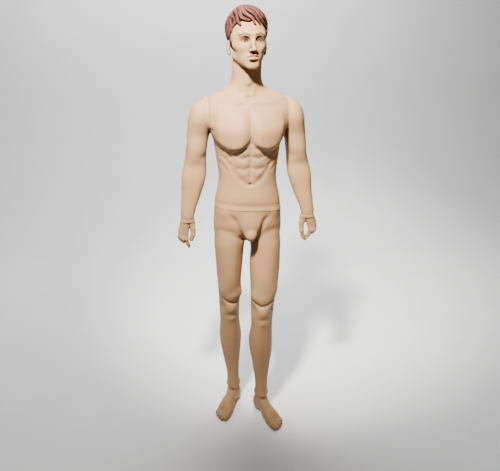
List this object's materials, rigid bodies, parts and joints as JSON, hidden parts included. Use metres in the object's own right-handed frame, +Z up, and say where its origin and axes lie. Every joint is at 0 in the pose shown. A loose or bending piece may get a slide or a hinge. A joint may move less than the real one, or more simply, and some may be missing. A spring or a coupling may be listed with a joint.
{
  "type": "male display mannequin",
  "caption": "Full-length standing male display mannequin with moulded hair and bare feet, which comes apart at the waist, shoulders, wrists and groin.",
  "frame": {"origin": "on the floor, under the middle of the figure's box", "axes": "+Z up, the figure faces -Y, its left side is +X"},
  "size_m": [0.6288, 0.3492, 1.8484],
  "materials": {
    "pelvis_leg_shell": "matt flesh lacquer on glass fibre",
    "pelvis_board": "birch plywood, sanded",
    "waist_bush": "zinc-plated steel",
    "waist_bush_screws": "zinc-plated steel",
    "leg_socket_block": "birch plywood, sanded",
    "leg_socket": "zinc-plated steel",
    "leg_socket_screws": "zinc-plated steel",
    "foot_socket": "zinc-plated steel",
    "waist_post": "zinc-plated steel",
    "torso_shell": "matt flesh lacquer on glass fibre",
    "torso_board": "birch plywood, sanded",
    "waist_socket": "zinc-plated steel",
    "waist_socket_screws": "zinc-plated steel",
    "neck_collar": "bare laminating resin",
    "head_shell": "matt flesh lacquer on glass fibre",
    "moulded_hair": "painted moulded hair, satin",
    "right_shoulder_block": "birch plywood, sanded",
    "right_shoulder_socket": "zinc-plated steel",
    "right_shoulder_screws": "zinc-plated steel",
    "left_shoulder_block": "birch plywood, sanded",
    "left_shoulder_socket": "zinc-plated steel",
    "left_shoulder_screws": "zinc-plated steel",
    "right_arm_shell": "matt flesh lacquer on glass fibre",
    "right_arm_block": "birch plywood, sanded",
    "right_arm_stud": "zinc-plated steel",
    "right_arm_screws": "zinc-plated steel",
    "right_wrist_plug": "bare laminating resin",
    "right_wrist_bush": "zinc-plated steel",
    "left_arm_shell": "matt flesh lacquer on glass fibre",
    "left_arm_block": "birch plywood, sanded",
    "left_arm_stud": "zinc-plated steel",
    "left_arm_screws": "zinc-plated steel",
    "left_wrist_plug": "bare laminating resin",
    "left_wrist_bush": "zinc-plated steel",
    "right_hand": "matt flesh lacquer on glass fibre",
    "right_hand_pin": "zinc-plated steel",
    "left_hand": "matt flesh lacquer on glass fibre",
    "left_hand_pin": "zinc-plated steel",
    "left_leg_shell": "matt flesh lacquer on glass fibre",
    "left_leg_block": "birch plywood, sanded",
    "left_leg_pin": "zinc-plated steel",
    "left_leg_screws": "zinc-plated steel"
  },
  "bodies": {
    "lower_body": {"pelvis_leg_shell": "pelvis_leg_shell", "pelvis_board": "pelvis_board", "waist_bush": "waist_bush", "waist_bush_screws": "waist_bush_screws", "leg_socket_block": "leg_socket_block", "leg_socket": "leg_socket", "leg_socket_screws": "leg_socket_screws", "foot_socket": "foot_socket"},
    "waist_post": {"waist_post": "waist_post"},
    "upper_body": {"torso_shell": "torso_shell", "torso_board": "torso_board", "waist_socket": "waist_socket", "waist_socket_screws": "waist_socket_screws", "neck_collar": "neck_collar", "head_shell": "head_shell", "moulded_hair": "moulded_hair", "right_shoulder_block": "right_shoulder_block", "right_shoulder_socket": "right_shoulder_socket", "right_shoulder_screws": "right_shoulder_screws", "left_shoulder_block": "left_shoulder_block", "left_shoulder_socket": "left_shoulder_socket", "left_shoulder_screws": "left_shoulder_screws"},
    "right_arm": {"right_arm_shell": "right_arm_shell", "right_arm_block": "right_arm_block", "right_arm_stud": "right_arm_stud", "right_arm_screws": "right_arm_screws", "right_wrist_plug": "right_wrist_plug", "right_wrist_bush": "right_wrist_bush"},
    "left_arm": {"left_arm_shell": "left_arm_shell", "left_arm_block": "left_arm_block", "left_arm_stud": "left_arm_stud", "left_arm_screws": "left_arm_screws", "left_wrist_plug": "left_wrist_plug", "left_wrist_bush": "left_wrist_bush"},
    "right_hand": {"right_hand": "right_hand", "right_hand_pin": "right_hand_pin"},
    "left_hand": {"left_hand": "left_hand", "left_hand_pin": "left_hand_pin"},
    "left_leg": {"left_leg_shell": "left_leg_shell", "left_leg_block": "left_leg_block", "left_leg_pin": "left_leg_pin", "left_leg_screws": "left_leg_screws"}
  },
  "joints": [
    {"name": "waist_turn", "type": "hinge", "parent": "lower_body", "child": "waist_post", "pos_m": [0.002, 0.04674, 1.035], "axis": [0.061, 0, 0.9981], "range_deg": [0, 45]},
    {"name": "waist_lift", "type": "slide", "parent": "waist_post", "child": "upper_body", "axis": [0.061, 0, 0.9981], "range_m": [0, 0.065]},
    {"name": "right_shoulder_turn", "type": "hinge", "parent": "upper_body", "child": "right_arm", "pos_m": [-0.158, 0.05874, 1.428], "axis": [-1, 0, 0], "range_deg": [-30, 90]},
    {"name": "left_shoulder_turn", "type": "hinge", "parent": "upper_body", "child": "left_arm", "pos_m": [0.162, 0.05874, 1.428], "axis": [-1, 0, 0], "range_deg": [-30, 90]},
    {"name": "right_wrist_turn", "type": "hinge", "parent": "right_arm", "child": "right_hand", "pos_m": [-0.262, 0.01874, 1.004], "axis": [0.1204, 0.1564, 0.9803], "range_deg": [-90, 90]},
    {"name": "left_wrist_turn", "type": "hinge", "parent": "left_arm", "child": "left_hand", "pos_m": [0.266, 0.01874, 1.004], "axis": [-0.1204, 0.1564, 0.9803], "range_deg": [-90, 90]},
    {"name": "left_leg_slide", "type": "slide", "parent": "lower_body", "child": "left_leg", "axis": [0.7071, 0, -0.7071], "range_m": [0, 0.06]}
  ]
}
